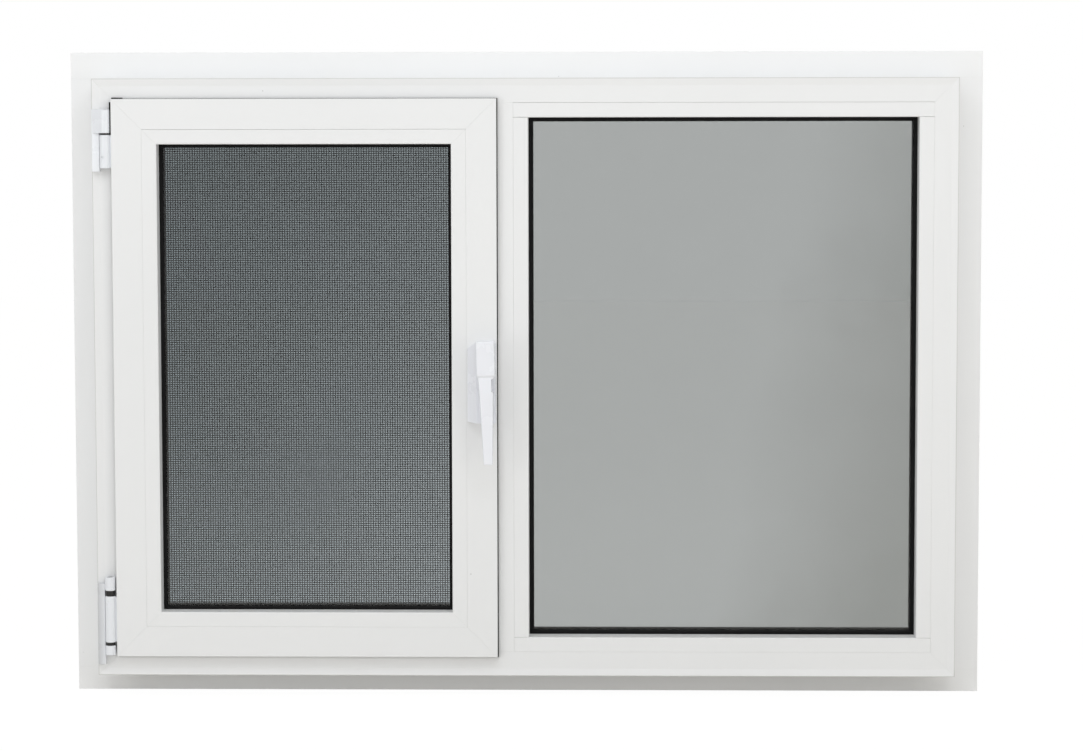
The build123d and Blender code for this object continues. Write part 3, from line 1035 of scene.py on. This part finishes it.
@dataclass(frozen=True)
class Lamp:
    """One soft box of the studio."""

    name: str
    place: Point
    aim: Point
    size: tuple[float, float]
    power: float
    colour: Colour = (1.0, 1.0, 1.0)

    def build(self) -> None:
        """Makes the lamp and turns it to its aim."""
        data = bpy.data.lights.new(self.name, "AREA")
        data.shape = "RECTANGLE"
        data.size, data.size_y = self.size
        data.energy = self.power
        data.color = self.colour
        lamp = bpy.data.objects.new(self.name, data)
        lamp.location = self.place
        lamp.visible_camera = False
        aim = Vector(self.aim) - Vector(self.place)
        lamp.rotation_euler = aim.to_track_quat("-Z", "Y").to_euler()
        bpy.context.scene.collection.objects.link(lamp)
        LOG.info("lamp %s: %.1f W", self.name, self.power)


@dataclass
class Studio:
    """A plain pale floor, a white background and three soft boxes."""

    floor_half: float = 7.0
    floor_colour: Colour = (0.94, 0.915, 0.865)
    floor_white: float = 0.95
    floor_glow: float = 1.024
    room_edge: float = -0.1
    background_edge: float = 0.3
    ambient: float = 0.6
    lamps: tuple[Lamp, ...] = (
        Lamp("overhead_box", (0.0, -1.15, 1.75), (0.0, 0.0, 0.4), (2.0, 0.8), 11.0, (0.97, 0.99, 1.0)),
        Lamp("left_box", (-1.9, -2.0, 0.5), (0.0, 0.0, 0.33), (0.6, 0.8), 6.2),
        Lamp("right_box", (1.9, -2.0, 0.5), (0.0, 0.0, 0.33), (0.6, 0.8), 5.4, (1.0, 0.95, 0.88)),
    )

    def build(self) -> None:
        """Sets the background, the floor and the lamps."""
        bpy.context.scene.view_settings.view_transform = "Standard"
        self.set_background()
        self.lay_floor(CAD_BOX[0].z)
        for lamp in self.lamps:
            lamp.build()

    def seen(self, graph: Graph, behind: Value) -> Socket:
        """Finds the rays that show the background: straight ones, mirrored ones and ones through glass.

        Args:
            graph: The tree of the world or of the floor.
            behind: How much of what a mirrored ray meets is background, not the dimmer room.

        Returns:
            1 for such a ray, else 0.
        """
        rays = graph.add("ShaderNodeLightPath").outputs
        straight = graph.sum("MAXIMUM", rays["Is Camera Ray"], rays["Is Transmission Ray"])
        return graph.sum("MAXIMUM", straight, graph.sum("MULTIPLY", rays["Is Glossy Ray"], behind))

    def set_background(self) -> None:
        """Makes a world that is white to look at and lights the window softly."""
        world = bpy.data.worlds.new("studio_world")
        world.use_nodes = True
        graph = Graph(world.node_tree)
        graph.tree.nodes.clear()
        heading = graph.add("ShaderNodeTexCoord").outputs["Generated"]
        depth = graph.add("ShaderNodeSeparateXYZ", {"Vector": heading}).outputs["Y"]
        behind = graph.spread(depth, self.room_edge, self.background_edge)
        strength = graph.spread(self.seen(graph, behind), 0.0, 1.0, self.ambient, 1.0)
        white = graph.add("ShaderNodeBackground", {"Color": (1.0, 1.0, 1.0), "Strength": strength})
        graph.add("ShaderNodeOutputWorld", {"Surface": white.outputs["Background"]})
        bpy.context.scene.world = world

    def lay_floor(self, level: float) -> None:
        """Lays the floor under the window.

        Args:
            level: The floor's height.
        """
        half = self.floor_half
        corners = [(-half, -half, level), (half, -half, level), (half, half, level), (-half, half, level)]
        mesh = bpy.data.meshes.new("studio_floor")
        mesh.from_pydata(corners, [], [(0, 1, 2, 3)])
        floor = bpy.data.objects.new("studio_floor", mesh)
        bpy.context.scene.collection.objects.link(floor)
        material = bpy.data.materials.new("studio_floor")
        material.use_nodes = True
        graph = Graph(material.node_tree)
        graph.tree.nodes.clear()
        cloth = graph.add("ShaderNodeBsdfDiffuse", {"Color": self.floor_colour})
        glow = graph.add("ShaderNodeEmission", {"Color": (1.0, 1.0, 1.0), "Strength": self.floor_glow})
        depth = graph.add("ShaderNodeSeparateXYZ", {"Vector": graph.place()}).outputs["Y"]
        behind = graph.spread(depth, self.room_edge, self.background_edge)
        share = graph.sum("MULTIPLY", self.seen(graph, behind), self.floor_white)
        blend = graph.add("ShaderNodeMixShader", {"Fac": share})
        graph.feed(blend.inputs[1], cloth.outputs["BSDF"])
        graph.feed(blend.inputs[2], glow.outputs["Emission"])
        graph.add("ShaderNodeOutputMaterial", {"Surface": blend.outputs["Shader"]})
        mesh.materials.append(material)
        LOG.info("floor at %.4f m", level)


@dataclass
class ViewCamera:
    """The camera, almost square on to the window and a little above its middle."""

    place: Point = (0.1066, -3.6507, 0.6485)
    turn: float = 1.404
    tilt: float = 4.844
    roll: float = -0.099
    lens: float = 110.25
    sensor: float = 36.0

    def build(self) -> None:
        """Makes the camera and hands it to the scene."""
        data = bpy.data.cameras.new("view_camera")
        data.sensor_fit = "HORIZONTAL"
        data.sensor_width = self.sensor
        data.lens = self.lens
        camera = bpy.data.objects.new("view_camera", data)
        heading = Matrix.Rotation(math.radians(self.turn), 4, "Z")
        pitch = Matrix.Rotation(math.radians(90.0 - self.tilt), 4, "X")
        level = Matrix.Rotation(math.radians(self.roll), 4, "Z")
        camera.matrix_world = Matrix.Translation(self.place) @ heading @ pitch @ level
        bpy.context.scene.collection.objects.link(camera)
        bpy.context.scene.camera = camera
        LOG.info("camera at %s", self.place)


def main() -> None:
    """Dresses the window piece by piece, then sets the studio and the camera."""
    logging.basicConfig(level=logging.INFO, format="%(name)s %(message)s")
    shop = PaintShop(EffectShelf())
    assemblies: list[SubAssembly] = [
        OuterFrame(),
        OpeningSash(),
        Glazing(Light.OPENING, Skin.SASH_GLASS),
        Glazing(Light.FIXED, Skin.FIXED_GLASS),
        Hinge(HingePlace.TOP, Skin.HINGE),
        Hinge(HingePlace.BOTTOM, Skin.LEAF),
        LeverHandle(),
        InsectScreen(),
    ]
    for assembly in assemblies:
        assembly.dress(shop)
    Studio().build()
    ViewCamera().build()


if __name__ == "__main__":
    main()
